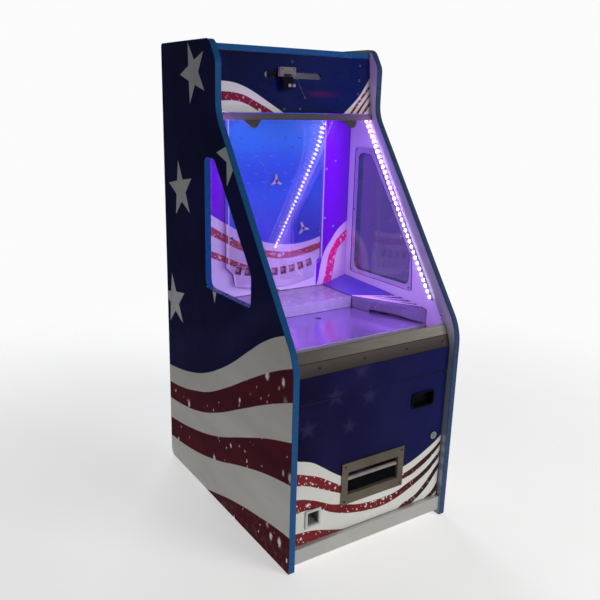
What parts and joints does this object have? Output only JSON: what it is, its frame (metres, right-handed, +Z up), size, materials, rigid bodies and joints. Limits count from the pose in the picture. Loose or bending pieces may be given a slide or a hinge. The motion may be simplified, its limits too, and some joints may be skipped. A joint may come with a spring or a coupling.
{
  "type": "coin pusher machine",
  "caption": "Upright single-player coin pusher with a sloped glass front, a pin field above a sliding pusher, side windows and a hinged front door with a payout flap.",
  "frame": {"origin": "on the floor at the centre of the footprint", "axes": "+X to the machine's right as the player sees it, -Y towards the player, +Z up"},
  "size_m": [0.62, 0.8516, 1.5],
  "materials": {
    "printed_board": "printed vinyl over board, semi-gloss",
    "blue_trim": "satin blue edge moulding",
    "acrylic": "clear acrylic sheet",
    "glass": "toughened sheet glass",
    "led_strip": "white strip with lit domes",
    "plywood": "raw board",
    "kick_metal": "brushed, light grey",
    "steel": "satin",
    "grey_metal": "semi-matt grey",
    "white_sheet": "white, satin",
    "white_metal": "light grey-white, satin",
    "field_print": "glossy print",
    "red_lens": "tinted lens",
    "blue_sheet": "glossy blue sheet",
    "chrome": "polished",
    "black_plastic": "satin black"
  },
  "bodies": {
    "cabinet": {"side_panel_left": "printed_board", "side_panel_right": "printed_board", "marquee_panel": "printed_board", "front_upper_panel": "printed_board", "top_panel": "printed_board", "edge_trim_left": "blue_trim", "edge_trim_right": "blue_trim", "window_trim_left": "blue_trim", "window_trim_right": "blue_trim", "marquee_trim": "blue_trim", "side_window_left": "acrylic", "side_window_right": "acrylic", "board_cover": "acrylic", "front_glass": "glass", "led_strip_left": "led_strip", "led_strip_right": "led_strip", "base_panel": "plywood", "back_panel": "plywood", "pin_board": "plywood", "door_strike": "plywood", "kick_plate": "kick_metal", "steel_rail": "steel", "playfield_deck": "steel", "pusher_guide_left": "steel", "pusher_guide_right": "steel", "side_ramp_left": "steel", "side_ramp_right": "steel", "drop_chute": "steel", "payout_tray": "steel", "hinge_cabinet_leaf": "steel", "glass_channel": "grey_metal", "coin_box": "grey_metal", "drive_motor": "grey_metal", "control_box": "grey_metal", "power_supply": "grey_metal", "deck_lip": "white_sheet", "back_wall": "field_print", "pin_plate": "field_print", "indicator_strip": "red_lens", "side_shelf_left": "blue_sheet", "side_shelf_right": "blue_sheet", "inlet_guide_rod": "chrome", "power_inlet": "black_plastic"},
    "pusher": {"pusher_plate": "white_metal", "pusher_yoke": "steel"},
    "crank": {"crank_disc": "steel"},
    "upper_rotor": {"spinner_upper": "white_metal"},
    "lower_rotor": {"spinner_lower": "white_metal"},
    "inlet": {"coin_inlet": "steel", "inlet_carriage": "black_plastic", "inlet_grip": "black_plastic"},
    "door": {"front_door": "printed_board", "outlet_frame": "steel", "door_pull": "black_plastic", "return_cup": "white_metal", "lock_housing": "chrome", "hinge_door_leaf": "steel"},
    "flap": {"outlet_flap": "black_plastic"},
    "lock": {"lock_plug": "chrome"},
    "rocker": {"power_switch": "black_plastic"}
  },
  "joints": [
    {"name": "pusher_slide", "type": "slide", "parent": "cabinet", "child": "pusher", "axis": [0, -1, 0], "range_m": [-0.036, 0.036]},
    {"name": "crank_turn", "type": "hinge", "parent": "cabinet", "child": "crank", "pos_m": [0, 0.315, 0.6475], "axis": [0, 0, 1], "range_deg": [-60, 60]},
    {"name": "upper_spinner_turn", "type": "hinge", "parent": "cabinet", "child": "upper_rotor", "pos_m": [-0.031, 0.13825, 1.0695], "axis": [0, 1, 0], "continuous": true},
    {"name": "lower_spinner_turn", "type": "hinge", "parent": "cabinet", "child": "lower_rotor", "pos_m": [0.0815, 0.13825, 0.901], "axis": [0, 1, 0], "continuous": true},
    {"name": "coin_inlet_slide", "type": "slide", "parent": "cabinet", "child": "inlet", "axis": [1, 0, 0], "range_m": [-0.054, 0.111]},
    {"name": "front_door_hinge", "type": "hinge", "parent": "cabinet", "child": "door", "pos_m": [-0.284, -0.4075, 0.295], "axis": [0, 0, -1], "range_deg": [0, 88]},
    {"name": "outlet_flap_hinge", "type": "hinge", "parent": "door", "child": "flap", "pos_m": [0.004, -0.398, 0.2385], "axis": [1, 0, 0], "range_deg": [0, 75]},
    {"name": "door_lock_turn", "type": "hinge", "parent": "door", "child": "lock", "pos_m": [0.248, -0.3855, 0.3], "axis": [0, -1, 0], "range_deg": [0, 90]},
    {"name": "power_switch_rock", "type": "hinge", "parent": "cabinet", "child": "rocker", "pos_m": [-0.142, 0.413, 0.115], "axis": [1, 0, 0], "range_deg": [-16, 0]}
  ],
  "couplings": [
    {"joint": "crank_turn", "follows": "pusher_slide", "rad_per_m": -28.5}
  ]
}
